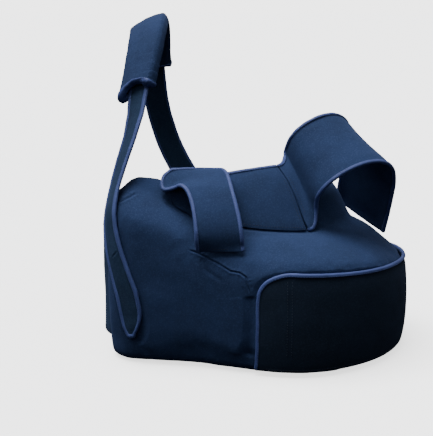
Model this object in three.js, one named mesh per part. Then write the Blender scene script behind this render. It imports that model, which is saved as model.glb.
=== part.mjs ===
// Shoulder abduction pillow in its worn form, in millimetres, +Z up and -Y to the front.
// The shapes are worked out round the axis of the waist opening, at the level of the pillow's flat
// underside, and the finished group is moved so that its origin is the top of the shoulder loop,
// on the underside of the padded sleeve.
import * as THREE from 'three';

// Waist opening, an upright ellipse
const WAIST_HALF_BREADTH = 157;
const WAIST_HALF_DEPTH = 108;

// Clearances: between neighbouring pieces, and under a sheet that lies on the pillow or the belt
const GAP = 0.4;
const LIE_GAP = 0.9;

// Pillow, its ends given as angles round the waist in degrees from +X
const PILLOW_HEIGHT = 270;
const PILLOW_REACH = 310;
const PILLOW_FRONT_END = -140;
const PILLOW_REAR_END = 24;
const PILLOW_CREST_ROUND = 17;
const PILLOW_EDGE_ROUND = 13;
const PILLOW_END_ROUND = 22;
const PILLOW_FACE_BULGE = 4;

// Belt, which lies inside both ends of the pillow
const BELT_HEIGHT = 172;
const BELT_THICKNESS = 4;
const BELT_FRONT_END = -122;
const BELT_REAR_END = 4;
const BELT_COLUMNS = 4;

// Flap along the pillow's crest
const FLAP_THICKNESS = 4;
const FLAP_FRONT_END = -108;
const FLAP_REAR_END = -46;
const FLAP_STAND = 3;
const FLAP_COLUMNS = 6;

// Panel on the front right of the pillow
const PANEL_THICKNESS = 4;
const PANEL_HEIGHT = 145;
const PANEL_FALL = 0.14;
const PANEL_FRONT_END = -71.5;
const PANEL_REAR_END = 6;
const PANEL_CORNER_RADIUS = 38;
const PANEL_LIFT = 9;
const PANEL_COLUMNS = 9;

// Binding tape
const BINDING_WIDTH = 6;
const BINDING_STAND = 1.2;

// Shoulder strap
const SHOULDER_HEIGHT = 470;
const STRAP_WIDTH = 40;
const STRAP_THICKNESS = 3.5;
const STRAP_LIE_GAP = 1.8;
const STRAP_COLUMNS = 5;
const STRAP_STEPS_PER_ROW = 3;

// Padded sleeve on the strap
const PAD_WIDTH = 60;
const PAD_WALL = 5;
const PAD_CROWN = 4;
const PAD_FRONT_LENGTH = 152;
const PAD_REAR_LENGTH = 105;
const PAD_ARCH = 16;
const PAD_CAVITY_GAP = 1.2;
const PAD_RINGS = 20;
const PAD_FRONT_BINDING_GAP = 1.6;

// Wrist band
const WRIST_BAND_WIDTH = 62;
const WRIST_BAND_THICKNESS = 4;
const WRIST_BAND_STEPS = 23;
const WRIST_BAND_COLUMNS = 7;

// Upper arm cuff, round its own slanting axis
const CUFF_WIDTH = 106;
const CUFF_THICKNESS = 4.5;
const CUFF_HALF_BREADTH = 62;
const CUFF_RISE = 46;
const CUFF_FOOT_LIFT = 5.4;
const CUFF_ROOT_GAP = 2.2;
const CUFF_ROOT_STEPS = 5;
const CUFF_ROOT_LIFT = 3;
const CUFF_END_CLEARANCE = 4;
const CUFF_STEPS = 27;
const CUFF_COLUMNS = 7;

// Pillow sections by angle. Reach is a share of PILLOW_REACH, the heights are shares of
// PILLOW_HEIGHT: crest at the inner edge, seat in the middle of the top, lip at the top's outer
// side, face where the outer wall starts.
const PILLOW_SECTIONS = [
  { angle: -140, reach: 0.62, crest: 0.96, seat: 0.93, lip: 0.9, face: 0.8 },
  { angle: -127, reach: 0.66, crest: 0.97, seat: 0.93, lip: 0.88, face: 0.77 },
  { angle: -113, reach: 0.635, crest: 0.96, seat: 0.86, lip: 0.81, face: 0.72 },
  { angle: -93, reach: 0.635, crest: 0.95, seat: 0.76, lip: 0.715, face: 0.63 },
  { angle: -75, reach: 0.73, crest: 0.96, seat: 0.73, lip: 0.66, face: 0.565 },
  { angle: -61, reach: 0.865, crest: 0.975, seat: 0.71, lip: 0.65, face: 0.555 },
  { angle: -44, reach: 0.945, crest: 0.985, seat: 0.69, lip: 0.63, face: 0.54 },
  { angle: -30, reach: 0.975, crest: 0.98, seat: 0.69, lip: 0.6, face: 0.51 },
  { angle: -15, reach: 0.98, crest: 0.94, seat: 0.69, lip: 0.57, face: 0.48 },
  { angle: 0, reach: 0.945, crest: 0.88, seat: 0.68, lip: 0.56, face: 0.47 },
  { angle: 24, reach: 0.8, crest: 0.78, seat: 0.68, lip: 0.58, face: 0.48 },
];

// Strap rows from the tab's tip to the end on the belt. Across is a share of WAIST_HALF_BREADTH,
// depth of WAIST_HALF_DEPTH, height of SHOULDER_HEIGHT, half a share of half STRAP_WIDTH. Look is the
// way that the outer face looks.
const STRAP_ROWS = [
  { across: -0.62, depth: -1.63, height: 0.08, half: 0.3, lookX: -0.5, lookY: -0.87, lookZ: 0 },
  { across: -0.625, depth: -1.61, height: 0.105, half: 0.78, lookX: -0.5, lookY: -0.87, lookZ: 0 },
  { across: -0.635, depth: -1.58, height: 0.145, half: 1.0, lookX: -0.53, lookY: -0.85, lookZ: 0 },
  { across: -0.68, depth: -1.55, height: 0.22, half: 1.0, lookX: -0.57, lookY: -0.82, lookZ: 0 },
  { across: -0.765, depth: -1.46, height: 0.33, half: 1.0, lookX: -0.7, lookY: -0.72, lookZ: 0 },
  { across: -0.85, depth: -1.34, height: 0.45, half: 0.98, lookX: -0.88, lookY: -0.47, lookZ: 0.03 },
  { across: -0.81, depth: -1.17, height: 0.55, half: 0.96, lookX: -0.92, lookY: -0.38, lookZ: 0.07 },
  { across: -0.715, depth: -1.02, height: 0.68, half: 0.96, lookX: -0.92, lookY: -0.38, lookZ: 0.1 },
  { across: -0.625, depth: -0.84, height: 0.79, half: 0.96, lookX: -0.85, lookY: -0.48, lookZ: 0.2 },
  { across: -0.565, depth: -0.6, height: 0.89, half: 0.98, lookX: -0.8, lookY: -0.42, lookZ: 0.42 },
  { across: -0.535, depth: -0.3, height: 0.965, half: 0.98, lookX: -0.6, lookY: -0.3, lookZ: 0.74 },
  { across: -0.53, depth: 0.05, height: 0.995, half: 0.98, lookX: -0.45, lookY: 0, lookZ: 0.89 },
  { across: -0.53, depth: 0.42, height: 0.955, half: 0.98, lookX: -0.35, lookY: 0.5, lookZ: 0.79 },
  { across: -0.54, depth: 0.78, height: 0.85, half: 0.97, lookX: -0.25, lookY: 0.9, lookZ: 0.35 },
  { across: -0.5, depth: 1.0, height: 0.71, half: 0.96, lookX: -0.15, lookY: 0.98, lookZ: 0.1 },
  { across: -0.36, depth: 1.12, height: 0.56, half: 0.96, lookX: -0.1, lookY: 0.99, lookZ: 0 },
  { across: -0.12, depth: 1.15, height: 0.42, half: 0.96, lookX: -0.04, lookY: 1, lookZ: 0 },
  { across: 0.12, depth: 1.13, height: 0.31, half: 0.96, lookX: 0.07, lookY: 1, lookZ: 0 },
  { across: 0.33, depth: 1.07, height: 0.22, half: 0.96, lookX: 0.21, lookY: 0.98, lookZ: 0 },
  { across: 0.47, depth: 1.0, height: 0.16, half: 0.96, lookX: 0.31, lookY: 0.95, lookZ: 0 },
];
const STRAP_SEAT_ROW = 11;

// Section of the padded sleeve, as shares of its half width and half height
const PAD_OUTLINE = [
  [1, 0.5], [0.93, 1], [0.5, 1], [0, 1], [-0.5, 1], [-0.93, 1], [-1, 0.5],
  [-1, -0.5], [-0.93, -1], [-0.5, -1], [0, -1], [0.5, -1], [0.93, -1], [1, -0.5],
];

// Section of the binding tape, as shares of its half width and half height
const BINDING_OUTLINE = [
  [1, 0.45], [0.45, 1], [-0.45, 1], [-1, 0.45],
  [-1, -0.45], [-0.45, -1], [0.45, -1], [1, -0.45],
];

// Wrist band rows from the tongue on the crest to the end on the pillow's face. Left and right are
// the edges, as shares of WRIST_BAND_WIDTH from the waist axis, depth a share of WAIST_HALF_DEPTH,
// height and the left edge's own height shares of PILLOW_HEIGHT.
const WRIST_ROWS = [
  { left: -0.85, right: 0.3, depth: -1.22, height: 1.0, leftHeight: 0.995 },
  { left: -1.0, right: 0.45, depth: -1.27, height: 1.0, leftHeight: 0.965 },
  { left: -1.0, right: 0.53, depth: -1.35, height: 0.988, leftHeight: 0.92 },
  { left: -0.79, right: 0.57, depth: -1.43, height: 0.97, leftHeight: 0.925 },
  { left: -0.6, right: 0.6, depth: -1.51, height: 0.952, leftHeight: 0.94 },
  { left: -0.45, right: 0.63, depth: -1.6, height: 0.93, leftHeight: 0.925 },
  { left: -0.34, right: 0.7, depth: -1.72, height: 0.88, leftHeight: 0.875 },
  { left: -0.27, right: 0.79, depth: -1.84, height: 0.8, leftHeight: 0.8 },
  { left: -0.23, right: 0.85, depth: -1.91, height: 0.715, leftHeight: 0.715 },
  { left: -0.21, right: 0.87, depth: -1.85, height: 0.635, leftHeight: 0.635 },
];

// Cuff sections round its axis, from the side that rises from the flap over the top and down to the
// outer foot on the pillow. Across is a share of CUFF_HALF_BREADTH, rise of CUFF_RISE, at the upper
// and at the lower edge.
const CUFF_SECTIONS = [
  { upperAcross: -0.67, upperRise: 0.02, lowerAcross: -0.76, lowerRise: -0.36 },
  { upperAcross: -0.56, upperRise: 0.48, lowerAcross: -0.72, lowerRise: 0.12 },
  { upperAcross: -0.28, upperRise: 0.8, lowerAcross: -0.44, lowerRise: 0.52 },
  { upperAcross: 0.12, upperRise: 0.92, lowerAcross: 0.0, lowerRise: 0.72 },
  { upperAcross: 0.52, upperRise: 0.78, lowerAcross: 0.45, lowerRise: 0.7 },
  { upperAcross: 0.84, upperRise: 0.36, lowerAcross: 0.87, lowerRise: 0.44 },
  { upperAcross: 1.0, upperRise: -0.25, lowerAcross: 1.17, lowerRise: -0.05 },
  { upperAcross: 1.03, upperRise: -0.95, lowerAcross: 1.3, lowerRise: -0.75 },
  { upperAcross: 1.0, upperRise: -1.7, lowerAcross: 1.31, lowerRise: -1.5 },
  { upperAcross: 0.96, upperRise: -2.4, lowerAcross: 1.3, lowerRise: -2.2 },
  { upperAcross: 0.94, upperRise: -3.0, lowerAcross: 1.28, lowerRise: -2.8 },
  { upperAcross: 0.93, upperRise: -3.5, lowerAcross: 1.26, lowerRise: -3.25 },
];

// Middle of the cuff's upper edge, as shares of WAIST_HALF_BREADTH, WAIST_HALF_DEPTH and PILLOW_HEIGHT
const CUFF_TOP = { across: 0.99, depth: -0.555, height: 1.135 };
const CUFF_AXIS = new THREE.Vector3(0.45, -0.7, -0.55).normalize();

const SEGMENTS_PER_TURN = 60;
const STEP_ANGLE = 360 / SEGMENTS_PER_TURN;
const LEVEL_DIFFERENCE = 1e-6;
const UP = new THREE.Vector3(0, 0, 1);

function radians(degrees) {
  return degrees * Math.PI / 180;
}

// Value of one column of a table at x, on a smooth curve through its rows
function column(rows, key, name, x) {
  const last = rows.length - 1;
  let i = 0;
  while (i < last - 1 && x > rows[i + 1][key]) i += 1;
  const slope = (k) => {
    const a = rows[Math.max(k - 1, 0)];
    const b = rows[Math.min(k + 1, last)];
    return (b[name] - a[name]) / (b[key] - a[key]);
  };
  const span = rows[i + 1][key] - rows[i][key];
  const t = THREE.MathUtils.clamp((x - rows[i][key]) / span, 0, 1);
  const rise = rows[i + 1][name] - rows[i][name];
  const start = slope(i) * span;
  const end = slope(i + 1) * span;
  const square = 3 * rise - 2 * start - end;
  const cube = start + end - 2 * rise;
  return rows[i][name] + t * (start + t * (square + t * cube));
}

// Rows of a table spread evenly over a smooth curve, count of them, each with every column
function spread(rows, count) {
  const indexed = rows.map((row, index) => ({ ...row, index }));
  const names = Object.keys(rows[0]);
  return Array.from({ length: count }, (_, k) => {
    const x = k * (rows.length - 1) / (count - 1);
    return Object.fromEntries(names.map((name) => [name, column(indexed, 'index', name, x)]));
  });
}

function waistRadius(angle) {
  const a = radians(angle);
  return 1 / Math.hypot(Math.cos(a) / WAIST_HALF_BREADTH, Math.sin(a) / WAIST_HALF_DEPTH);
}

function polar(angle, radius, z) {
  const a = radians(angle);
  return new THREE.Vector3(radius * Math.cos(a), radius * Math.sin(a), z);
}

// How far the pillow's skin is drawn in near its two ends
function endInset(angle, middleRadius) {
  const away = Math.min(angle - PILLOW_FRONT_END, PILLOW_REAR_END - angle);
  const distance = radians(Math.max(away, 0)) * middleRadius;
  if (distance >= PILLOW_END_ROUND) return 0;
  const share = 1 - distance / PILLOW_END_ROUND;
  return PILLOW_END_ROUND * (1 - Math.sqrt(1 - share * share));
}

// Pillow's outline in the upright plane at an angle, as points of radius and height, from the foot of
// the inner wall over the crest, the seat and the lip to the foot of the outer wall
function pillowOutline(angle) {
  const at = (name) => column(PILLOW_SECTIONS, 'angle', name, angle);
  const inner = waistRadius(angle) + BELT_THICKNESS + 2 * GAP;
  const width = at('reach') * PILLOW_REACH - inner;
  const crest = at('crest') * PILLOW_HEIGHT;
  const seat = at('seat') * PILLOW_HEIGHT;
  const lip = at('lip') * PILLOW_HEIGHT;
  const face = at('face') * PILLOW_HEIGHT;
  const round = PILLOW_EDGE_ROUND;
  const top = PILLOW_CREST_ROUND;
  const knots = [
    [0.3 * round, 0.3 * round],
    [0, round],
    [0, 0.5 * crest],
    [0, crest - top],
    [0.3 * top, crest - 0.3 * top],
    [top, crest],
    [0.5 * top + 0.25 * width, crest - 0.4 * (crest - seat)],
    [0.45 * width, seat],
    [0.65 * width, 0.55 * seat + 0.45 * lip],
    [0.85 * width, 0.8 * lip + 0.2 * face],
    [0.965 * width, 0.35 * lip + 0.65 * face],
    [width, 0.95 * face],
    [width + PILLOW_FACE_BULGE, 0.5 * face],
    [width, round],
    [width - 0.3 * round, 0.3 * round],
  ];
  const places = knots.map(([u, z]) => new THREE.Vector3(u, 0, z));
  const curve = new THREE.CatmullRomCurve3(places, false, 'centripetal');
  const count = 2 * (knots.length - 1);
  const outline = [new THREE.Vector2(round, 0)];
  for (let k = 0; k <= count; k += 1) {
    const point = curve.getPoint(k / count);
    outline.push(new THREE.Vector2(Math.max(point.x, 0), Math.max(point.z, 0)));
  }
  outline.push(new THREE.Vector2(width - round, 0));
  const inset = endInset(angle, inner + width / 2);
  const narrow = 1 - 2 * inset / width;
  const low = 1 - 2 * inset / crest;
  return outline.map((point) => new THREE.Vector2(
    inner + width / 2 + (point.x - width / 2) * narrow,
    crest / 2 + (point.y - crest / 2) * low,
  ));
}

// Angles of the pillow's sections: close together over its rounded ends, even between them
function pillowAngles() {
  const closeAngle = (end, turn) => {
    const reach = column(PILLOW_SECTIONS, 'angle', 'reach', end) * PILLOW_REACH;
    const middle = (waistRadius(end) + reach) / 2;
    return (1 - Math.cos(radians(turn))) * PILLOW_END_ROUND / middle * 180 / Math.PI;
  };
  const turns = [0, 30, 55, 75, 90];
  const front = turns.map((turn) => PILLOW_FRONT_END + closeAngle(PILLOW_FRONT_END, turn));
  const rear = turns.map((turn) => PILLOW_REAR_END - closeAngle(PILLOW_REAR_END, turn)).reverse();
  const from = front[front.length - 1];
  const to = rear[0];
  const count = Math.round((to - from) / STEP_ANGLE);
  const even = Array.from({ length: count - 1 }, (_, k) => from + (to - from) * (k + 1) / count);
  return [...front, ...even, ...rear];
}

const STATIONS = pillowAngles();
const SKIN = STATIONS.map((angle) => pillowOutline(angle).map((point) => polar(angle, point.x, point.y)));
const SKIN_CREST = 11;
const SKIN_SEAT = 15;

// Outline of the pillow's faceted skin at any angle between its ends
function skinOutline(angle) {
  const last = STATIONS.length - 1;
  const within = THREE.MathUtils.clamp(angle, STATIONS[0], STATIONS[last]);
  let i = 0;
  while (i < last - 1 && within > STATIONS[i + 1]) i += 1;
  const t = (within - STATIONS[i]) / (STATIONS[i + 1] - STATIONS[i]);
  return SKIN[i].map((point, k) => point.clone().lerp(SKIN[i + 1][k], t));
}

// Point of the skin at an angle and at a place along its outline, counted in outline points
function skinPoint(angle, place) {
  const outline = skinOutline(angle);
  const low = Math.floor(THREE.MathUtils.clamp(place, 0, outline.length - 2));
  return outline[low].clone().lerp(outline[low + 1], place - low);
}

function skinNormal(angle, place) {
  const half = STEP_ANGLE / 2;
  const round = skinPoint(angle + half, place).sub(skinPoint(angle - half, place));
  const along = skinPoint(angle, place + 0.5).sub(skinPoint(angle, place - 0.5));
  return along.cross(round).normalize();
}

// Place along the outline where its outer side comes down to a height
function skinPlaceAt(angle, height) {
  const outline = skinOutline(angle);
  let k = outline.length - 1;
  while (k > 1 && outline[k - 1].z < height) k -= 1;
  return k - (height - outline[k].z) / (outline[k - 1].z - outline[k].z);
}

// How far out the pillow reaches at an angle and height
function skinReach(angle, height) {
  const outline = skinOutline(angle);
  let reach = 0;
  for (let k = 0; k + 1 < outline.length; k += 1) {
    const [a, b] = [outline[k], outline[k + 1]];
    const inSpan = (height - a.z) * (height - b.z) <= 0;
    if (inSpan && Math.abs(a.z - b.z) > LEVEL_DIFFERENCE) {
      const t = (height - a.z) / (b.z - a.z);
      reach = Math.max(reach, levelRadius(a.clone().lerp(b, t)));
    }
  }
  return reach;
}

// Height of the pillow's top at an angle and radius
function skinTop(angle, radius) {
  const outline = skinOutline(angle);
  let top = 0;
  for (let k = 0; k + 1 < outline.length; k += 1) {
    const near = levelRadius(outline[k]);
    const far = levelRadius(outline[k + 1]);
    const inSpan = (radius - near) * (radius - far) <= 0;
    if (inSpan && Math.abs(near - far) > LEVEL_DIFFERENCE) {
      const t = (radius - near) / (far - near);
      top = Math.max(top, THREE.MathUtils.lerp(outline[k].z, outline[k + 1].z, t));
    }
  }
  return top;
}

function levelRadius(point) {
  return Math.hypot(point.x, point.y);
}

function angleOf(point) {
  return Math.atan2(point.y, point.x) * 180 / Math.PI;
}

// The point, moved outwards where it lies in the pillow or nearer to its outer side than the clearance
function clearOfPillow(point, clearance) {
  const angle = angleOf(point);
  if (angle < PILLOW_FRONT_END || angle > PILLOW_REAR_END || point.z > PILLOW_HEIGHT) return point;
  const least = skinReach(angle, point.z) + clearance;
  return levelRadius(point) < least ? polar(angle, least, point.z) : point;
}

// The point, raised where it lies in the pillow or nearer to its top than the clearance
function abovePillow(point, clearance) {
  const least = skinTop(angleOf(point), levelRadius(point)) + clearance;
  return new THREE.Vector3(point.x, point.y, Math.max(point.z, least));
}

// The point, moved outwards where it lies in the belt or nearer to it than the clearance
function clearOfBelt(point, clearance) {
  const angle = angleOf(point);
  const least = waistRadius(angle) + BELT_THICKNESS + clearance;
  const beside = point.z < BELT_HEIGHT + STRAP_WIDTH;
  return beside && levelRadius(point) < least ? polar(angle, least, point.z) : point;
}

// Geometry of a closed set of triangles, turned so that its faces point out
function solid(points, triangles) {
  let volume = 0;
  for (let k = 0; k < triangles.length; k += 3) {
    const [a, b, c] = triangles.slice(k, k + 3).map((index) => points[index]);
    volume += a.dot(new THREE.Vector3().crossVectors(b, c));
  }
  const places = points.flatMap((point) => point.toArray());
  const geometry = new THREE.BufferGeometry();
  geometry.setAttribute('position', new THREE.Float32BufferAttribute(places, 3));
  geometry.setIndex(volume > 0 ? triangles : triangles.slice().reverse());
  geometry.computeVertexNormals();
  return geometry;
}

// Triangles between each ring of points and the next, the rings' points counted from start
function skirt(start, ringCount, size, flip = false) {
  const triangles = [];
  for (let i = 0; i + 1 < ringCount; i += 1) {
    for (let j = 0; j < size; j += 1) {
      const a = start + i * size + j;
      const b = start + i * size + (j + 1) % size;
      if (flip) triangles.push(a, b + size, b, a, a + size, b + size);
      else triangles.push(a, b, b + size, a, b + size, a + size);
    }
  }
  return triangles;
}

// Closed solid from rings of points, with a fan over each end
function loft(rings) {
  const size = rings[0].length;
  const points = rings.flat();
  const triangles = skirt(0, rings.length, size);
  const fan = (start, flip) => {
    const ring = points.slice(start, start + size);
    const centre = points.length;
    points.push(ring.reduce((sum, point) => sum.add(point), new THREE.Vector3()).divideScalar(size));
    for (let j = 0; j < size; j += 1) {
      const a = start + j;
      const b = start + (j + 1) % size;
      triangles.push(centre, flip ? b : a, flip ? a : b);
    }
  };
  fan(0, true);
  fan((rings.length - 1) * size, false);
  return solid(points, triangles);
}

// Closed solid from rings of paired points on both faces of a sheet, with its ends closed in strips
function stripLoft(lows, highs) {
  const size = lows[0].length * 2;
  const rings = lows.map((low, i) => [...low, ...highs[i].slice().reverse()]);
  const triangles = skirt(0, rings.length, size);
  const close = (start, flip) => {
    for (let j = 0; j + 1 < size / 2; j += 1) {
      const a = start + j;
      const b = a + 1;
      const d = start + size - 1 - j;
      const c = d - 1;
      triangles.push(...(flip ? [a, c, b, a, d, c] : [a, b, c, a, c, d]));
    }
  };
  close(0, true);
  close((rings.length - 1) * size, false);
  return solid(rings.flat(), triangles);
}

// Open sleeve from rings of points on its outer and its inner face
function sleeveLoft(outer, inner) {
  const size = outer[0].length;
  const innerStart = outer.length * size;
  const last = (outer.length - 1) * size;
  const triangles = [...skirt(0, outer.length, size), ...skirt(innerStart, inner.length, size, true)];
  for (let j = 0; j < size; j += 1) {
    const next = (j + 1) % size;
    triangles.push(next, j, innerStart + j, next, innerStart + j, innerStart + next);
    triangles.push(last + j, last + next, innerStart + last + j);
    triangles.push(last + next, innerStart + last + next, innerStart + last + j);
  }
  return solid([...outer.flat(), ...inner.flat()], triangles);
}

// Cells with the points on a sheet's inner face and their outward normals, from rows of points.
// The direction given is one that the middle of the sheet looks towards.
function sheetCells(rows, direction) {
  const cells = rows.map((row, i) => row.map((point, j) => {
    const along = new THREE.Vector3()
      .subVectors(rows[Math.min(i + 1, rows.length - 1)][j], rows[Math.max(i - 1, 0)][j]);
    const across = new THREE.Vector3()
      .subVectors(row[Math.min(j + 1, row.length - 1)], row[Math.max(j - 1, 0)]);
    return { point, normal: new THREE.Vector3().crossVectors(across, along).normalize() };
  }));
  const middle = cells[Math.floor(cells.length / 2)];
  if (middle[Math.floor(middle.length / 2)].normal.dot(direction) < 0) {
    cells.flat().forEach((cell) => cell.normal.negate());
  }
  return cells;
}

// Sheet of even thickness on its cells
function sheetSolid(cells, thickness) {
  const lows = cells.map((row) => row.map(({ point }) => point.clone()));
  const highs = cells.map((row) => row.map(({ point, normal }) => (
    point.clone().addScaledVector(normal, thickness)
  )));
  return stripLoft(lows, highs);
}

// Tape along an edge, given as cells in order: a rounded bead beside the sheet, a little thicker than
// it. The side is 1 or -1, for the bead on one hand or the other of the way the cells go.
function bindingSolid(cells, thickness, side) {
  const halfWidth = BINDING_WIDTH / 2;
  const halfHeight = (thickness + BINDING_STAND) / 2;
  const last = cells.length - 1;
  return loft(cells.map(({ point, normal }, k) => {
    const along = new THREE.Vector3()
      .subVectors(cells[Math.min(k + 1, last)].point, cells[Math.max(k - 1, 0)].point);
    const out = new THREE.Vector3().crossVectors(along, normal).multiplyScalar(side).normalize();
    const centre = point.clone().addScaledVector(normal, halfHeight).addScaledVector(out, halfWidth + GAP);
    return BINDING_OUTLINE.map(([u, v]) => (
      centre.clone().addScaledVector(out, u * halfWidth).addScaledVector(normal, v * halfHeight)
    ));
  }));
}

function numbers(count, from, to) {
  return Array.from({ length: count }, (_, k) => from + (to - from) * k / (count - 1));
}

// The two ends of a range with the pillow's own stations between them
function stationsBetween(from, to) {
  const margin = STEP_ANGLE / 4;
  return [from, ...STATIONS.filter((angle) => angle > from + margin && angle < to - margin), to];
}

function beltCells() {
  const end = BELT_REAR_END - 360;
  const count = Math.round((BELT_FRONT_END - end) / STEP_ANGLE) + 1;
  const rows = numbers(count, BELT_FRONT_END, end).map((angle) => (
    numbers(BELT_COLUMNS, 0, BELT_HEIGHT).map((z) => polar(angle, waistRadius(angle), z))
  ));
  return sheetCells(rows, new THREE.Vector3(-1, 0, 0));
}

// One row of points over the crest and the slope before it, standing up a little at the inner edge
function flapRow(angle, columns) {
  return numbers(columns, 0, 1).map((share) => {
    const place = THREE.MathUtils.lerp(SKIN_CREST, SKIN_SEAT, share);
    const lift = LIE_GAP + FLAP_STAND * (1 - share) ** 2;
    return skinPoint(angle, place).addScaledVector(skinNormal(angle, place), lift);
  });
}

function flapCells() {
  const rows = stationsBetween(FLAP_FRONT_END, FLAP_REAR_END)
    .map((angle) => flapRow(angle, FLAP_COLUMNS));
  return sheetCells(rows, UP);
}

// Radius at which the panel's front edge runs
function panelEdgeRadius() {
  return column(PILLOW_SECTIONS, 'angle', 'reach', PANEL_FRONT_END) * PILLOW_REACH;
}

// Angles of the panel's rows, close together over its rounded corner
function panelAngles() {
  const degreesPerLength = 180 / Math.PI / panelEdgeRadius();
  const corner = [0, 20, 40, 60, 80].map((turn) => (
    PANEL_FRONT_END + PANEL_CORNER_RADIUS * (1 - Math.cos(radians(turn))) * degreesPerLength
  ));
  const rest = stationsBetween(corner[corner.length - 1], PANEL_REAR_END).slice(1);
  return [...corner, ...rest];
}

// The panel's top edge falls a little to the rear and is rounded at the front
function panelTop(angle) {
  const share = (angle - PANEL_FRONT_END) / (PANEL_REAR_END - PANEL_FRONT_END);
  const fromEdge = radians(angle - PANEL_FRONT_END) * panelEdgeRadius();
  const missing = Math.max(PANEL_CORNER_RADIUS - fromEdge, 0);
  const corner = PANEL_CORNER_RADIUS - Math.sqrt(PANEL_CORNER_RADIUS ** 2 - missing ** 2);
  return PANEL_HEIGHT * (1 - PANEL_FALL * share) - corner;
}

function panelCells() {
  const rows = panelAngles().map((angle) => {
    const foot = skinPlaceAt(angle, PANEL_LIFT);
    const head = skinPlaceAt(angle, panelTop(angle));
    return numbers(PANEL_COLUMNS, foot, head).map((place) => (
      skinPoint(angle, place).addScaledVector(skinNormal(angle, place), LIE_GAP)
    ));
  });
  return sheetCells(rows, polar((PANEL_FRONT_END + PANEL_REAR_END) / 2, 1, 0));
}

// Rows of the strap: centre of the inner face, way along, way it looks and the side that lies across it
const STRAP = strapRows();

function strapRows() {
  const rows = spread(STRAP_ROWS, STRAP_STEPS_PER_ROW * (STRAP_ROWS.length - 1) + 1);
  const centres = rows.map((row) => new THREE.Vector3(
    row.across * WAIST_HALF_BREADTH,
    row.depth * WAIST_HALF_DEPTH,
    row.height * SHOULDER_HEIGHT,
  ));
  let length = 0;
  return rows.map((row, k) => {
    const before = centres[Math.max(k - 1, 0)];
    const after = centres[Math.min(k + 1, rows.length - 1)];
    const along = new THREE.Vector3().subVectors(after, before).normalize();
    length += centres[k].distanceTo(before);
    const look = new THREE.Vector3(row.lookX, row.lookY, row.lookZ);
    const normal = look.addScaledVector(along, -look.dot(along)).normalize();
    const side = new THREE.Vector3().crossVectors(normal, along);
    return { centre: centres[k], along, normal, side, half: row.half, length };
  });
}

const SEAT_LENGTH = STRAP[STRAP_STEPS_PER_ROW * STRAP_SEAT_ROW].length;

// Frame of the strap at a length along it
function strapAt(length) {
  let k = 0;
  while (k < STRAP.length - 2 && length > STRAP[k + 1].length) k += 1;
  const [a, b] = [STRAP[k], STRAP[k + 1]];
  const t = (length - a.length) / (b.length - a.length);
  const blend = (name) => a[name].clone().lerp(b[name], t);
  return {
    centre: blend('centre'),
    normal: blend('normal').normalize(),
    side: blend('side').normalize(),
  };
}

function strapCells() {
  const sheetHalf = STRAP_WIDTH / 2 - BINDING_WIDTH - GAP;
  const rows = STRAP.map(({ centre, side, half }) => numbers(STRAP_COLUMNS, -1, 1).map((u) => {
    const point = centre.clone().addScaledVector(side, u * half * sheetHalf);
    return clearOfBelt(clearOfPillow(point, STRAP_LIE_GAP), LIE_GAP);
  }));
  return sheetCells(rows, UP);
}

// The strap's edge from its end on the back, down one side, round the tip and up the other side
function strapEdge(cells) {
  const right = cells.map((row) => row[row.length - 1]).reverse();
  const left = cells.map((row) => row[0]);
  return [...right, ...cells[0].slice(1, -1).reverse(), ...left];
}

// Section of the sleeve at a length along the strap. Its front end is cut back in an arch.
function padRing(length, halfWidth, halfHeight, crown) {
  const middle = (STRAP_THICKNESS + BINDING_STAND) / 2;
  const fromSeat = SEAT_LENGTH - length;
  const fade = THREE.MathUtils.smoothstep(fromSeat, 0.3 * PAD_FRONT_LENGTH, PAD_FRONT_LENGTH);
  return PAD_OUTLINE.map(([across, height]) => {
    const rounded = 1 - across * across;
    const { centre, normal, side } = strapAt(length + PAD_ARCH * rounded * fade);
    const rise = middle + height * halfHeight + Math.max(height, 0) * crown * rounded;
    return centre.addScaledVector(side, across * halfWidth).addScaledVector(normal, rise);
  });
}

// Half height of the room inside the sleeve
function padCavityHeight() {
  return (STRAP_THICKNESS + BINDING_STAND) / 2 + PAD_CAVITY_GAP;
}

function padGeometry() {
  const cavityWidth = STRAP_WIDTH / 2 + PAD_CAVITY_GAP;
  const cavity = padCavityHeight();
  const lengths = numbers(PAD_RINGS, SEAT_LENGTH - PAD_FRONT_LENGTH, SEAT_LENGTH + PAD_REAR_LENGTH);
  const inner = lengths.map((length) => padRing(length, cavityWidth, cavity, 0));
  const outer = lengths.map((length) => padRing(length, PAD_WIDTH / 2, cavity + PAD_WALL, PAD_CROWN));
  return sleeveLoft(outer, inner);
}

// Cells over the top of one end of the sleeve, from side to side
function padEndCells(length) {
  const { normal } = strapAt(length);
  const ring = padRing(length, PAD_WIDTH / 2 - PAD_WALL / 2, padCavityHeight(), PAD_CROWN);
  return ring.slice(1, 6).map((point) => ({ point, normal }));
}

function wristCells() {
  const sideTrim = BINDING_WIDTH + GAP;
  const rows = spread(WRIST_ROWS, WRIST_BAND_STEPS).map((row) => {
    const left = row.left * WRIST_BAND_WIDTH + sideTrim;
    const right = row.right * WRIST_BAND_WIDTH - sideTrim;
    return numbers(WRIST_BAND_COLUMNS, 0, 1).map((t) => {
      const x = THREE.MathUtils.lerp(left, right, t);
      const height = row.height + (row.leftHeight - row.height) * (1 - t) ** 2;
      const point = new THREE.Vector3(x, row.depth * WAIST_HALF_DEPTH, height * PILLOW_HEIGHT);
      return clearOfPillow(point, LIE_GAP);
    });
  });
  return sheetCells(rows, new THREE.Vector3(0, -1, 1));
}

function wristEdge(cells) {
  const left = cells.map((row) => row[0]).reverse();
  const right = cells.map((row) => row[row.length - 1]);
  return [...left, ...cells[0].slice(1, -1), ...right];
}

// Row of the flap's form at an angle, lifted towards the seat to make room for the tape there
function cuffRootRow(angle) {
  return flapRow(angle, CUFF_COLUMNS).map((point, k, all) => (
    point.setZ(point.z + CUFF_ROOT_LIFT * (k / (all.length - 1)) ** 2)
  ));
}

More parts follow.
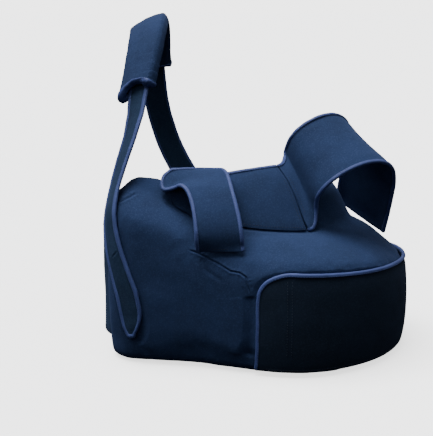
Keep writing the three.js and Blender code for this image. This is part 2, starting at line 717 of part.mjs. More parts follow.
// Rows that lead on from the flap's rear end to the first two of the cuff's own rows
function cuffRootRows(first, second) {
  const degreesPerLength = 180 / Math.PI / levelRadius(skinPoint(FLAP_REAR_END, SKIN_CREST));
  const rootAngle = FLAP_REAR_END + CUFF_ROOT_GAP * degreesPerLength;
  const before = cuffRootRow(rootAngle - STEP_ANGLE);
  const root = cuffRootRow(rootAngle);
  return numbers(CUFF_ROOT_STEPS + 1, 0, 1).slice(0, -1).map((t) => first.map((end, k) => {
    const span = root[k].distanceTo(end);
    const start = root[k].clone().sub(before[k]).setLength(span);
    const finish = second[k].clone().sub(end).setLength(span);
    const point = root[k].clone().multiplyScalar((1 + 2 * t) * (1 - t) ** 2)
      .addScaledVector(start, t * (1 - t) ** 2)
      .addScaledVector(end, t * t * (3 - 2 * t))
      .addScaledVector(finish, t * t * (t - 1));
    return abovePillow(point, THREE.MathUtils.lerp(LIE_GAP, CUFF_END_CLEARANCE, t));
  }));
}

function cuffCells() {
  const top = new THREE.Vector3(
    CUFF_TOP.across * WAIST_HALF_BREADTH,
    CUFF_TOP.depth * WAIST_HALF_DEPTH,
    CUFF_TOP.height * PILLOW_HEIGHT,
  );
  const wide = new THREE.Vector3(1, 0, 0).addScaledVector(CUFF_AXIS, -CUFF_AXIS.x).normalize();
  const high = new THREE.Vector3().crossVectors(wide, CUFF_AXIS).multiplyScalar(-1);
  if (high.z < 0) high.negate();
  const sheetWidth = CUFF_WIDTH - 2 * BINDING_WIDTH - 2 * GAP;
  const rows = spread(CUFF_SECTIONS, CUFF_STEPS).map((row) => {
    const at = (across, rise, along) => top.clone()
      .addScaledVector(wide, across * CUFF_HALF_BREADTH)
      .addScaledVector(high, rise * CUFF_RISE)
      .addScaledVector(CUFF_AXIS, along + BINDING_WIDTH + GAP);
    const upper = at(row.upperAcross, row.upperRise, 0);
    const lower = at(row.lowerAcross, row.lowerRise, sheetWidth);
    return numbers(CUFF_COLUMNS, 0, 1).map((t) => (
      abovePillow(upper.clone().lerp(lower, t), CUFF_END_CLEARANCE)
    ));
  });
  const cells = sheetCells([...cuffRootRows(rows[0], rows[1]), ...rows], high);
  return sheetCells(cells.map((row) => row.map(({ point, normal }) => {
    const outer = point.clone().addScaledVector(normal, CUFF_THICKNESS);
    return point.setZ(point.z + Math.max(abovePillow(outer, CUFF_FOOT_LIFT).z - outer.z, 0));
  })), high);
}

// Soft brushed cloth over foam
function coverCloth() {
  return new THREE.MeshStandardMaterial({ color: 0x24365c, roughness: 0.92, metalness: 0 });
}

// Thinner looped cloth of the belt and the strap
function loopCloth() {
  return new THREE.MeshStandardMaterial({ color: 0x1c2a44, roughness: 0.95, metalness: 0 });
}

// Smooth woven edging
function edgingTape() {
  return new THREE.MeshStandardMaterial({ color: 0x5f74b4, roughness: 0.7, metalness: 0 });
}

const group = new THREE.Group();

function add(name, geometry, material) {
  const mesh = new THREE.Mesh(geometry, material);
  mesh.name = name;
  group.add(mesh);
}

const cover = coverCloth();
const loop = loopCloth();
const tape = edgingTape();
const flap = flapCells();
const panel = panelCells();
const panelEdge = [...panel[0].slice(0, -1), ...panel.map((row) => row[row.length - 1])];
const strap = strapCells();
const padFront = padEndCells(SEAT_LENGTH - PAD_FRONT_LENGTH - PAD_FRONT_BINDING_GAP);
const padRear = padEndCells(SEAT_LENGTH + PAD_REAR_LENGTH);
const wrist = wristCells();
const cuff = cuffCells();
const cuffUpperEdge = cuff.map((row) => row[0]);
const cuffLowerEdge = cuff.map((row) => row[row.length - 1]);

add('pillow', loft(SKIN), cover);
add('waist_belt', sheetSolid(beltCells(), BELT_THICKNESS), loop);
add('rim_flap', sheetSolid(flap, FLAP_THICKNESS), cover);
add('rim_binding', bindingSolid(flap.map((row) => row[0]), FLAP_THICKNESS, -1), tape);
add('front_panel', sheetSolid(panel, PANEL_THICKNESS), cover);
add('panel_binding', bindingSolid(panelEdge, PANEL_THICKNESS, -1), tape);
add('shoulder_strap', sheetSolid(strap, STRAP_THICKNESS), loop);
add('strap_binding', bindingSolid(strapEdge(strap), STRAP_THICKNESS, 1), tape);
add('shoulder_pad', padGeometry(), cover);
add('pad_front_binding', bindingSolid(padFront, PAD_WALL, 1), tape);
add('pad_rear_binding', bindingSolid(padRear, PAD_WALL, -1), tape);
add('wrist_band', sheetSolid(wrist, WRIST_BAND_THICKNESS), cover);
add('wrist_binding', bindingSolid(wristEdge(wrist), WRIST_BAND_THICKNESS, -1), tape);
add('upper_arm_cuff', sheetSolid(cuff, CUFF_THICKNESS), cover);
add('cuff_upper_binding', bindingSolid(cuffUpperEdge, CUFF_THICKNESS, -1), tape);
add('cuff_lower_binding', bindingSolid(cuffLowerEdge, CUFF_THICKNESS, 1), tape);

const { centre: seatCentre, normal: seatNormal } = strapAt(SEAT_LENGTH);
group.position.copy(seatCentre.addScaledVector(seatNormal, -PAD_WALL)).negate();

export default group;
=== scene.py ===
"""Looks of the shoulder abduction pillow: foam body, laminated bands, edging tape and stitching."""
import math
import random

import bmesh
import bpy
import numpy as np
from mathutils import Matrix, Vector, noise
from mathutils.bvhtree import BVHTree
from mathutils.kdtree import KDTree


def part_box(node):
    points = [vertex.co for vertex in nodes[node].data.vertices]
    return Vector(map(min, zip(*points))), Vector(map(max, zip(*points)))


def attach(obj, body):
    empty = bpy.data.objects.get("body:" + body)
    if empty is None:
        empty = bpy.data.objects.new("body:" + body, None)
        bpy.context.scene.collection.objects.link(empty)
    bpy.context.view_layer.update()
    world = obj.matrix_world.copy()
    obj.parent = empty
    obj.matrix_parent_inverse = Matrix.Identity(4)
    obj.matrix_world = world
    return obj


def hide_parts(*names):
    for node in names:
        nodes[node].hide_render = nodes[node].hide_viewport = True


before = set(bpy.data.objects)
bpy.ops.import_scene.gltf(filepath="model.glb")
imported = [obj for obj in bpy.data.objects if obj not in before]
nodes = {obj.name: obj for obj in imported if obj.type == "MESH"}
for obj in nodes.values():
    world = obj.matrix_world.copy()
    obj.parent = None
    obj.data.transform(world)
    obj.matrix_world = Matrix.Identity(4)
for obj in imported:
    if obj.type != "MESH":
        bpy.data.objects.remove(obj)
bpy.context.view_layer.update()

MM = 0.001

# Camera, as fitted to the photograph's 433 by 436 frame
FRAME_WIDTH = 433
FRAME_HEIGHT = 436
FOCAL_PIXELS = 1050
CAMERA_AT = Vector((0.0967, -1.6052, 0.0518))
CAMERA_TILT = math.radians(12)
SENSOR = 36

# Thicknesses of the sheets, as in the part's source
THICKNESS = {
    "waist_belt": 4 * MM,
    "rim_flap": 4 * MM,
    "front_panel": 4 * MM,
    "shoulder_strap": 3.5 * MM,
    "wrist_band": 4 * MM,
    "upper_arm_cuff": 4.5 * MM,
}

# Edges sharper than this divide the faces of a solid
SHARP = math.radians(52)

# Seams and creases of the pillow, as pixels of the photograph's frame: depth, width and folds in mm
CREASES = [
    {"name": "front seam", "depth": 1.5, "width": 1.2, "pucker": 0.25,
     "path": [(190, 250.5), (197, 252.7), (206.5, 257.6), (219.3, 264.6), (230.5, 271.4), (240, 273.2),
              (245.9, 277.4), (246.8, 284.3), (248.8, 292)]},
    {"name": "front dip", "depth": 3.6, "width": 9.0, "pucker": 0.0,
     "path": [(250, 296), (251.5, 306), (252, 322), (251.5, 340), (249.5, 358)]},
    {"name": "short fold", "depth": 0.5, "width": 2.6, "pucker": 0.0,
     "path": [(203, 268), (211, 274), (222, 281)]},
    {"name": "top left crease", "depth": 1.2, "width": 2.0, "pucker": 0.2,
     "path": [(118, 203), (124, 200), (130, 197), (137, 193)]},
]

# Seams across a sheet, in the same way; refine as how far from the seam the grid is made finer, in mm
PANEL_SEAM = {
    "depth": 1.2, "width": 1.2, "refine": [8],
    "path": [(290, 281), (290, 300), (290, 320), (289.5, 340), (289, 360)],
}
STRAP_SEAM = {
    "depth": 0.9, "width": 1.1, "refine": [9, 5],
    "path": [(112.5, 257.8), (115.5, 254.6), (118.5, 251.6), (121.5, 248.9)],
}

# Padded pieces: frames of the cloth solver; for each piece the grid of the remeshed form in mm, rounds of
# smoothing, the solver's pressure, cap as how far a point may move in mm, and waves as in the next table
SWELL_FRAMES = 20
PADDED = {
    "pillow": {
        "grid": 5.5, "quick_grid": 8.0, "smoothing": 4, "pressure": 4.0, "cap": 3.0,
        "waves": [(1.3, 11, 1), (0.7, 27, 2), (0.22, 80, 3)],
    },
    "shoulder_pad": {
        "grid": 2.0, "quick_grid": 3.0, "smoothing": 5, "pressure": 3.0, "cap": 1.2,
        "waves": [(0.6, 30, 4), (0.25, 85, 5)],
    },
}

# Sheets: waves as amplitude in mm, scale per metre and seed; crown as how far the middle stands
# above the bound edges, in mm; eased as the rounds of smoothing; let out as how far the untaped
# edges are drawn out, in mm, which closes the seam between the flap and the cuff
SHEETS = {
    "waist_belt": {"waves": [(1.2, 14, 11), (0.5, 45, 12)], "crown": 0.0, "eased": 0, "let_out": 0.0},
    "rim_flap": {"waves": [(0.8, 22, 13), (0.3, 70, 14)], "crown": 1.2, "eased": 1, "let_out": 0.8},
    "front_panel": {
        "waves": [(0.9, 13, 15), (0.4, 38, 16), (0.12, 120, 17)], "crown": 0.9, "eased": 0, "let_out": 0.0,
    },
    "shoulder_strap": {"waves": [(0.5, 30, 18), (0.2, 90, 19)], "crown": 0.3, "eased": 0, "let_out": 0.0},
    "wrist_band": {"waves": [(0.7, 25, 20), (0.25, 80, 21)], "crown": 1.2, "eased": 2, "let_out": 0.0},
    "upper_arm_cuff": {
        "waves": [(1.4, 14, 22), (0.6, 34, 23), (0.2, 90, 24)], "crown": 1.6, "eased": 6, "let_out": 0.8,
    },
}

# How the strap lies, by the length from its tip in mm: turned in degrees, moved to the right in mm,
# its width as a share of the flat one, and drawn up towards the shoulder in mm
STRAP_LIE = [
    {"at": 0, "turned": 0, "right": -4.0, "width": 0.66, "up": 8},
    {"at": 14, "turned": 0, "right": -2.0, "width": 0.74, "up": 7},
    {"at": 31, "turned": 0, "right": 0.5, "width": 0.83, "up": 5},
    {"at": 67, "turned": 0, "right": 1.5, "width": 0.88, "up": 2},
    {"at": 122, "turned": 0, "right": -1.0, "width": 0.82, "up": 0},
    {"at": 181, "turned": 0, "right": 0.5, "width": 0.97, "up": 0},
    {"at": 232, "turned": 3, "right": 3.0, "width": 1.0, "up": 0},
    {"at": 297, "turned": 8, "right": 7.5, "width": 1.0, "up": 0},
    {"at": 330, "turned": 13, "right": 6.5, "width": 1.0, "up": 0},
    {"at": 352, "turned": 16, "right": 3.5, "width": 1.0, "up": 0},
    {"at": 385, "turned": 18, "right": 0.5, "width": 1.0, "up": 0},
    {"at": 415, "turned": 18, "right": 0.0, "width": 1.0, "up": 0},
    {"at": 457, "turned": 10, "right": 0.0, "width": 1.0, "up": 0},
    {"at": 498, "turned": 3, "right": 0.0, "width": 1.0, "up": 0},
    {"at": 530, "turned": 0, "right": 0.0, "width": 1.0, "up": 0},
]

# Sleeve: its front end by the length from the strap's tip, how far that end slants over the sleeve's
# width, where the slant ends, and the bindings folded over its ends
SLEEVE_HALF_WIDTH = 30 * MM
SLEEVE_FRONT_END = 346 * MM
SLEEVE_SLANT = 27 * MM
SLEEVE_SLANT_LENGTH = 95 * MM
SLEEVE_END_REACH = 40 * MM
BINDING_WIDTH = 6 * MM
BINDING_THICK = 2.2 * MM

# Tape: how far it stands above the sheet, how far the sheet runs on under it, how near a tape bounds
# an edge, and the step along it
TAPE_STAND = 1.2 * MM
SKIRT = 2.2 * MM
BESIDE_TAPE = 1.5 * MM
TAPE_STEP = 2.2 * MM

# The tape's inner edge and its stitches, in mm outwards from the edge of the sheet's outer face
TAPE_INNER = 0.9
STRAP_TAPE_INNER = -0.5
TAPE_STITCH_OUT = 2.1

# Other rows of stitches, in mm: inwards from an untaped edge, and to each side of the panel's seam
HEM_INSET = 4.0
BELT_HEM_INSET = 5.0
SEAM_ROW_OFF = 3.2

# The crossed box of stitches: its ends inwards from the strap's end, and its half width as a share of
# the strap's
BOX_NEAR = 5 * MM
BOX_FAR = 34 * MM
BOX_HALF_SHARE = 0.42

# How far the pillow may stand out of its solid under a sheet, how much more away from the sheets, how
# near a sheet counts, and how far away its effect ends
PILLOW_SLACK = 0.2 * MM
PILLOW_STAND_OUT = 3.5 * MM
SHEET_REACH = 30 * MM
SHEET_FADE = 12 * MM

# Light and floor: half the floor's size in metres, its colour and glow, the world's brightness, and
# the suns, each with the angle that it fills in degrees
FLOOR_HALF = 30.0
FLOOR_COLOUR = (242, 243, 245)
FLOOR_GLOW = 1.7
WORLD_BRIGHTNESS = 3.6
SUNS = [
    {"name": "key", "towards": (0.26, 0.05, -1), "strength": 5.5, "spread": 45},
    {"name": "sky", "towards": (0, 0, -1), "strength": 1.45, "spread": 170},
]


def weld(node):
    """A bmesh of a node with its doubled corners joined."""
    bm = bmesh.new()
    bm.from_mesh(nodes[node].data)
    bmesh.ops.remove_doubles(bm, verts=bm.verts, dist=0.02 * MM)
    bm.normal_update()
    return bm


def regions(bm):
    """Sets of faces that no sharp edge divides, the largest first."""
    bm.faces.ensure_lookup_table()
    seen = set()
    found = []
    for face in bm.faces:
        if face.index in seen:
            continue
        seen.add(face.index)
        stack = [face]
        region = []
        while stack:
            current = stack.pop()
            region.append(current)
            for edge in current.edges:
                for other in edge.link_faces:
                    if other.index not in seen and current.normal.angle(other.normal, 0) < SHARP:
                        seen.add(other.index)
                        stack.append(other)
        found.append(region)
    return sorted(found, key=lambda region: -sum(face.calc_area() for face in region))


def outer_face(node, towards=None):
    """A bmesh of the sheet's outer face alone: the larger of its two, or the one that looks the given way."""
    bm = weld(node)
    found = regions(bm)
    pair = found[:2]
    if towards is not None:
        pair.sort(key=lambda region: -sum((f.normal * f.calc_area()).dot(towards) for f in region))
    keep = set(pair[0])
    for region in found[2:]:
        beside = [other for face in region for edge in face.edges for other in edge.link_faces]
        if len(region) < 3 and sum(other in keep for other in beside) > 1:
            keep.update(region)
    bmesh.ops.delete(bm, geom=[face for face in bm.faces if face not in keep], context="FACES")
    bmesh.ops.join_triangles(
        bm, faces=bm.faces, angle_face_threshold=math.radians(40), angle_shape_threshold=math.radians(180),
    )
    bm.normal_update()
    return bm


def skirt(bm, tape_nodes):
    """Lets the sheet run on under its tape."""
    def key(point):
        return tuple(round(x, 7) for x in point)

    outs = {}
    for run in edge_runs(bm, *tape_nodes):
        for point, _, out in run:
            outs[key(point)] = out
    edges = [e for e in bm.edges if e.is_boundary and all(key(v.co) in outs for v in e.verts)]
    made = bmesh.ops.extrude_edge_only(bm, edges=edges)["geom"]
    for vertex in made:
        if isinstance(vertex, bmesh.types.BMVert):
            vertex.co += outs[key(vertex.co)] * SKIRT
    bm.normal_update()


def let_out(bm, tape_nodes, length):
    """Draws the sheet's untaped edges outwards."""
    moves = [(point, out) for run in edge_runs(bm, *tape_nodes, free=True) for point, _, out in run]
    for vertex in boundary(bm):
        for point, out in moves:
            if (vertex.co - point).length < 0.01 * MM:
                vertex.co += out * length
                break


def boundary(bm):
    """The outline of an open sheet as an ordered list of its vertices."""
    start = next(v for v in bm.verts if v.is_boundary)
    loop = [start]
    before = None
    while True:
        here = loop[-1]
        steps = [e.other_vert(here) for e in here.link_edges if e.is_boundary]
        following = steps[0] if steps[0] is not before else steps[1]
        if following is start:
            return loop
        before = here
        loop.append(following)


def edge_runs(bm, *tape_nodes, free=False):
    """Runs of the sheet's outline, each a list of (point, normal, outward).

    They are the runs beside a tape or, with free, the others.
    """
    trees = []
    for tape_node in tape_nodes:
        tape = weld(tape_node)
        trees.append(BVHTree.FromBMesh(tape))
        tape.free()
    loop = boundary(bm)
    beside = [any(tree.find_nearest(v.co)[3] < BESIDE_TAPE for tree in trees) != free for v in loop]
    count = len(loop)
    if all(beside):
        starts = [0]
    else:
        starts = [k for k in range(count) if beside[k] and not beside[k - 1]]
    runs = []
    for start in starts:
        run = []
        k = start
        while beside[k % count] and k < start + count:
            vertex = loop[k % count]
            normal = vertex.normal.copy()
            ahead = loop[(k + 1) % count].co - loop[(k - 1) % count].co
            if not beside[(k + 1) % count]:
                ahead = vertex.co - loop[(k - 1) % count].co
            if not beside[(k - 1) % count]:
                ahead = loop[(k + 1) % count].co - vertex.co
            inner = sum((face.calc_center_median() for face in vertex.link_faces), Vector())
            inner /= len(vertex.link_faces)
            out = ahead.cross(normal).normalized()
            if out.dot(inner - vertex.co) > 0:
                out.negate()
            run.append((vertex.co.copy(), normal, out))
            k += 1
        if len(run) > 1:
            runs.append(run)
    return runs


def resample(run, step):
    """Evenly spaced points of a run, on a smooth curve through them."""
    points = [p for p, _, _ in run]
    lengths = [0.0]
    for a, b in zip(points, points[1:]):
        lengths.append(lengths[-1] + (b - a).length)
    count = max(int(lengths[-1] / step), 2)
    result = []
    k = 0
    for i in range(count + 1):
        at = lengths[-1] * i / count
        while k < len(lengths) - 2 and at > lengths[k + 1]:
            k += 1
        t = (at - lengths[k]) / (lengths[k + 1] - lengths[k])
        before = points[max(k - 1, 0)]
        after = points[min(k + 2, len(points) - 1)]
        a, b = points[k], points[k + 1]
        point = 0.5 * (2 * a + (b - before) * t + (2 * before - 5 * a + 4 * b - after) * t ** 2
                       + (3 * a - before - 3 * b + after) * t ** 3)
        normal = run[k][1].lerp(run[k + 1][1], t).normalized()
        out = run[k][2].lerp(run[k + 1][2], t).normalized()
        result.append((point, normal, out, at))
    return result


def new_object(name, vertices, faces, material, uvs=None):
    mesh = bpy.data.meshes.new(name)
    mesh.from_pydata([tuple(v) for v in vertices], [], faces)
    mesh.materials.append(material)
    mesh.polygons.foreach_set("use_smooth", [True] * len(mesh.polygons))
    if uvs is not None:
        layer = mesh.uv_layers.new(name="along")
        for loop in mesh.loops:
            layer.data[loop.index].uv = uvs[loop.vertex_index]
    mesh.update()
    obj = bpy.data.objects.new(name, mesh)
    bpy.context.scene.collection.objects.link(obj)
    return obj


def bake(obj):
    """Applies the object's modifiers."""
    bpy.context.view_layer.update()
    graph = bpy.context.evaluated_depsgraph_get()
    mesh = bpy.data.meshes.new_from_object(obj.evaluated_get(graph))
    old = obj.data
    obj.modifiers.clear()
    obj.data = mesh
    bpy.data.meshes.remove(old)


def from_bmesh(name, bm, material):
    mesh = bpy.data.meshes.new(name)
    bm.to_mesh(mesh)
    mesh.materials.clear()
    mesh.materials.append(material)
    mesh.polygons.foreach_set("material_index", [0] * len(mesh.polygons))
    mesh.polygons.foreach_set("use_smooth", [True] * len(mesh.polygons))
    obj = bpy.data.objects.new(name, mesh)
    bpy.context.scene.collection.objects.link(obj)
    return obj


def subdivide(obj, levels):
    modifier = obj.modifiers.new("fine", "SUBSURF")
    modifier.levels = levels
    modifier.render_levels = levels
    modifier.boundary_smooth = "PRESERVE_CORNERS"
    bake(obj)


def positions(obj):
    co = np.empty(len(obj.data.vertices) * 3, np.float32)
    obj.data.vertices.foreach_get("co", co)
    return co.reshape(-1, 3).astype(float)


def normals(obj):
    no = np.empty(len(obj.data.vertices) * 3, np.float32)
    obj.data.vertices.foreach_get("normal", no)
    return no.reshape(-1, 3).astype(float)


def set_positions(obj, co):
    obj.data.vertices.foreach_set("co", co.astype(np.float32).ravel())
    obj.data.update()


def soft_noise(co, scale, seed):
    """Smooth noise from -1 to 1 at each point."""
    shift = Vector((seed * 7.31, seed * 3.17, seed * 5.71))
    return np.array([noise.noise(Vector(p) * scale + shift) for p in co])


def undulate(obj, waves):
    """Moves the surface in and out by layers of noise: amplitude in mm, scale per metre and seed."""
    co = positions(obj)
    no = normals(obj)
    move = sum(amplitude * MM * soft_noise(co, scale, seed) for amplitude, scale, seed in waves)
    set_positions(obj, co + no * move[:, None])


def to_line(co, path):
    """Each point's distance to a polyline and the length along it to the nearest place."""
    path = np.array([tuple(p) for p in path])
    best = np.full(len(co), 1e9)
    along = np.zeros(len(co))
    run = 0.0
    for a, b in zip(path, path[1:]):
        span = b - a
        length = np.linalg.norm(span)
        t = np.clip((co - a) @ span / length ** 2, 0, 1)
        distance = np.linalg.norm(co - a - t[:, None] * span, axis=1)
        closer = distance < best
        best[closer] = distance[closer]
        along[closer] = run + t[closer] * length
        run += length
    return best, along, run


def strap_line():
    """The strap's middle line from its tip to the belt: points, lengths and ways to the right edge."""
    bm = outer_face("shoulder_strap")
    run = max(edge_runs(bm, "strap_binding"), key=len)
    bm.free()
    count = (len(run) - 3) // 2
    pairs = [(run[k][0], run[len(run) - 1 - k][0]) for k in range(count)][::-1]
    if pairs[0][0].x > pairs[0][1].x:
        pairs = [(b, a) for a, b in pairs]
    middles = np.array([tuple((a + b) / 2) for a, b in pairs])
    sides = np.array([tuple((b - a).normalized()) for a, b in pairs])
    steps = np.linalg.norm(np.diff(middles, axis=0), axis=1)
    return middles, np.concatenate([[0], np.cumsum(steps)]), sides


def lie(obj, line, slant=0.0):
    """Moves a piece of the strap to the way that it lies, and slants the sleeve's front end."""
    middles, lengths, sides = line
    co = positions(obj)
    best = np.full(len(co), 1e9)
    foot = np.zeros_like(co)
    axis = np.zeros_like(co)
    along = np.zeros(len(co))
    for k, (a, b) in enumerate(zip(middles, middles[1:])):
        span = b - a
        length = np.linalg.norm(span)
        t = np.clip((co - a) @ span / length ** 2, None if k == 0 else 0, 1)
        place = a + t[:, None] * span
        distance = np.linalg.norm(co - place, axis=1)
        closer = distance < best
        best[closer] = distance[closer]
        foot[closer] = place[closer]
        axis[closer] = span / length
        along[closer] = lengths[k] + t[closer] * length
    at = [row["at"] * MM for row in STRAP_LIE]
    keys = ("turned", "right", "width", "up")
    value = {key: np.interp(along, at, [row[key] for row in STRAP_LIE]) for key in keys}
    side = np.stack([np.interp(along, lengths, sides[:, i]) for i in range(3)], axis=1)
    side /= np.linalg.norm(side, axis=1, keepdims=True)
    offset = co - foot
    across = (offset * side).sum(axis=1)
    offset -= side * (across * (1 - value["width"]))[:, None]
    angle = np.radians(value["turned"])[:, None]
    offset = (offset * np.cos(angle) + np.cross(axis, offset) * np.sin(angle)
              + axis * (axis * offset).sum(axis=1)[:, None] * (1 - np.cos(angle)))
    rise = value["up"] * MM
    if slant:
        share = np.clip((across / SLEEVE_HALF_WIDTH + 1) / 2, 0, 1) ** 1.2
        fade = np.clip(1 - (along - SLEEVE_FRONT_END) / SLEEVE_SLANT_LENGTH, 0, 1)
        rise = rise + slant * share * fade ** 1.5
    moved = foot + offset + axis * rise[:, None]
    moved[:, 0] += value["right"] * MM * (0 if slant else 1)
    set_positions(obj, moved)


def pixel_ray(x, y):
    """Direction of the ray through a pixel of the photograph's frame."""
    across = (x - FRAME_WIDTH / 2) / FOCAL_PIXELS
    up = (FRAME_HEIGHT / 2 - y) / FOCAL_PIXELS
    ahead = Vector((0, math.cos(CAMERA_TILT), -math.sin(CAMERA_TILT)))
    above = Vector((0, math.sin(CAMERA_TILT), math.cos(CAMERA_TILT)))
    return (ahead + Vector((across, 0, 0)) + above * up).normalized()


def on_surface(obj, pixels):
    """Where the rays through some pixels meet an object."""
    tree = BVHTree.FromObject(obj, bpy.context.evaluated_depsgraph_get())
    hits = [tree.ray_cast(CAMERA_AT, pixel_ray(x, y)) for x, y in pixels]
    return [hit[0] for hit in hits if hit[0] is not None]


def refine(obj, path, reach):
    """Divides the faces that lie near a line."""
    bm = bmesh.new()
    bm.from_mesh(obj.data)
    bm.verts.ensure_lookup_table()
    distance = to_line(positions(obj), path)[0]
    edges = [e for e in bm.edges if max(distance[e.verts[0].index], distance[e.verts[1].index]) < reach]
    bmesh.ops.subdivide_edges(bm, edges=edges, cuts=1, use_grid_fill=True, smooth=0.6)
    bm.to_mesh(obj.data)
    bm.free()
    obj.data.update()


def carve(obj, path, depth, width, pucker):
    """Presses a groove with raised lips into the surface, and small folds across it."""
    co = positions(obj)
    no = normals(obj)
    distance, along, length = to_line(co, path)
    fade = np.clip(np.minimum(along, length - along) / (6 * MM) + 0.25, 0, 1)
    w = width * MM
    groove = -depth * np.exp(-(distance / w) ** 2)
    lip = 0.4 * depth * np.exp(-((distance - 2.1 * w) / (1.1 * w)) ** 2)
    folds = 0.0
    if pucker:
        wave = np.sin(along / (7.5 * MM) * 2 * math.pi + 1.3 * np.sin(along / (23 * MM) * 2 * math.pi))
        folds = pucker * wave * np.exp(-((distance - 4 * w) / (3.2 * w)) ** 2)
    set_positions(obj, co + no * ((groove + lip + folds) * fade * MM)[:, None])


# Materials

def node_tools(material):
    tree = material.node_tree
    tree.nodes.clear()

    def make(kind, **settings):
        made = tree.nodes.new(kind)
        for name, value in settings.items():
            if name in made.inputs:
                made.inputs[name].default_value = value
            else:
                setattr(made, name, value)
        return made

    return tree, make


def linear(red, green, blue):
    """A colour given as it looks on screen, from 0 to 255, for a shader."""
    def one(value):
        value /= 255
        return value / 12.92 if value <= 0.04045 else ((value + 0.055) / 1.055) ** 2.4
    return (one(red), one(green), one(blue), 1.0)


def ramp_between(make, low, high, start, end):
    """A colour ramp from one colour to another between two places."""
    ramp = make("ShaderNodeValToRGB")
    ramp.color_ramp.elements[0].position = start
    ramp.color_ramp.elements[0].color = low
    ramp.color_ramp.elements[1].position = end
    ramp.color_ramp.elements[1].color = high
    return ramp


def cloth(name, colour, dark, light, sheen, pile):
    """Brushed looped cloth laminated to foam: faint mottling, paler loop tips and a short soft pile."""
    material = bpy.data.materials.new(name)
    material.use_nodes = True
    tree, make = node_tools(material)
    link = tree.links.new
    place = make("ShaderNodeTexCoord")
    broad = make("ShaderNodeTexNoise", Scale=19.0, Detail=4.0, Roughness=0.6)
    brushed = make("ShaderNodeTexNoise", Scale=210.0, Detail=3.0, Roughness=0.6)
    loops = make("ShaderNodeTexVoronoi", Scale=1150.0, Randomness=0.8)
    fibres = make("ShaderNodeTexNoise", Scale=2300.0, Detail=2.0, Roughness=0.7)
    grain = make("ShaderNodeTexNoise", Scale=480.0, Detail=2.0, Roughness=0.6)
    for texture in (broad, brushed, loops, fibres, grain):
        link(place.outputs["Object"], texture.inputs["Vector"])
    mottle = ramp_between(make, linear(*dark), linear(*colour), 0.36, 0.6)
    link(broad.outputs["Fac"], mottle.inputs["Fac"])
    tips = ramp_between(make, (0.22, 0.22, 0.22, 1), (0, 0, 0, 1), 0.08, 0.5)
    link(loops.outputs["Distance"], tips.inputs["Fac"])
    specks = ramp_between(make, (0, 0, 0, 1), (0.28, 0.28, 0.28, 1), 0.48, 0.7)
    link(grain.outputs["Fac"], specks.inputs["Fac"])
    paler = make("ShaderNodeMath", operation="MAXIMUM")
    link(tips.outputs["Color"], paler.inputs[0])
    link(specks.outputs["Color"], paler.inputs[1])
    mix = make("ShaderNodeMix", data_type="RGBA")
    link(paler.outputs["Value"], mix.inputs[0])
    link(mottle.outputs["Color"], mix.inputs[6])
    mix.inputs[7].default_value = linear(*light)
    layers = [
        (brushed, "Fac", 0.35, 0.35),
        (loops, "Distance", -0.55 * pile, 0.3),
        (fibres, "Fac", 0.4 * pile, 0.15),
    ]
    bumps = []
    for texture, output, strength, distance in layers:
        bump = make("ShaderNodeBump", Strength=abs(strength), Distance=distance * MM)
        bump.invert = strength < 0
        link(texture.outputs[output], bump.inputs["Height"])
        if bumps:
            link(bumps[-1].outputs["Normal"], bump.inputs["Normal"])
        bumps.append(bump)
    shader = make("ShaderNodeBsdfPrincipled", Roughness=0.88)
    shader.inputs["Sheen Weight"].default_value = sheen
    shader.inputs["Sheen Roughness"].default_value = 0.5
    shader.inputs["Sheen Tint"].default_value = linear(110, 135, 200)
    shader.inputs["Specular IOR Level"].default_value = 0.12
    link(mix.outputs[2], shader.inputs["Base Color"])
    link(bumps[-1].outputs["Normal"], shader.inputs["Normal"])
    out = make("ShaderNodeOutputMaterial")
    link(shader.outputs["BSDF"], out.inputs["Surface"])
    return material


def ribbed_tape(name, colour, dark):
    """Woven edging tape: fine ribs across its length, faint changes of tone and a soft shine."""
    material = bpy.data.materials.new(name)
    material.use_nodes = True
    tree, make = node_tools(material)
    link = tree.links.new
    place = make("ShaderNodeTexCoord")
    ribs = make("ShaderNodeTexWave", Scale=160.0, Distortion=1.2, Detail=1.0)
    ribs.wave_type = "BANDS"
    ribs.bands_direction = "X"
    link(place.outputs["UV"], ribs.inputs["Vector"])
    broad = make("ShaderNodeTexNoise", Scale=60.0, Detail=3.0, Roughness=0.6)
    fine = make("ShaderNodeTexNoise", Scale=1400.0, Detail=2.0, Roughness=0.7)
    link(place.outputs["Object"], broad.inputs["Vector"])
    link(place.outputs["Object"], fine.inputs["Vector"])
    tone = ramp_between(make, linear(*dark), linear(*colour), 0.3, 0.7)
    link(broad.outputs["Fac"], tone.inputs["Fac"])
    bump_ribs = make("ShaderNodeBump", Strength=0.5, Distance=0.3 * MM)
    bump_fine = make("ShaderNodeBump", Strength=0.4, Distance=0.2 * MM)
    link(ribs.outputs["Fac"], bump_ribs.inputs["Height"])
    link(fine.outputs["Fac"], bump_fine.inputs["Height"])
    link(bump_ribs.outputs["Normal"], bump_fine.inputs["Normal"])
    shader = make("ShaderNodeBsdfPrincipled", Roughness=0.6)
    shader.inputs["Sheen Weight"].default_value = 0.12
    shader.inputs["Sheen Roughness"].default_value = 0.4
    shader.inputs["Sheen Tint"].default_value = linear(150, 165, 220)
    shader.inputs["Specular IOR Level"].default_value = 0.3
    link(tone.outputs["Color"], shader.inputs["Base Color"])
    link(bump_fine.outputs["Normal"], shader.inputs["Normal"])
    out = make("ShaderNodeOutputMaterial")
    link(shader.outputs["BSDF"], out.inputs["Surface"])
    return material


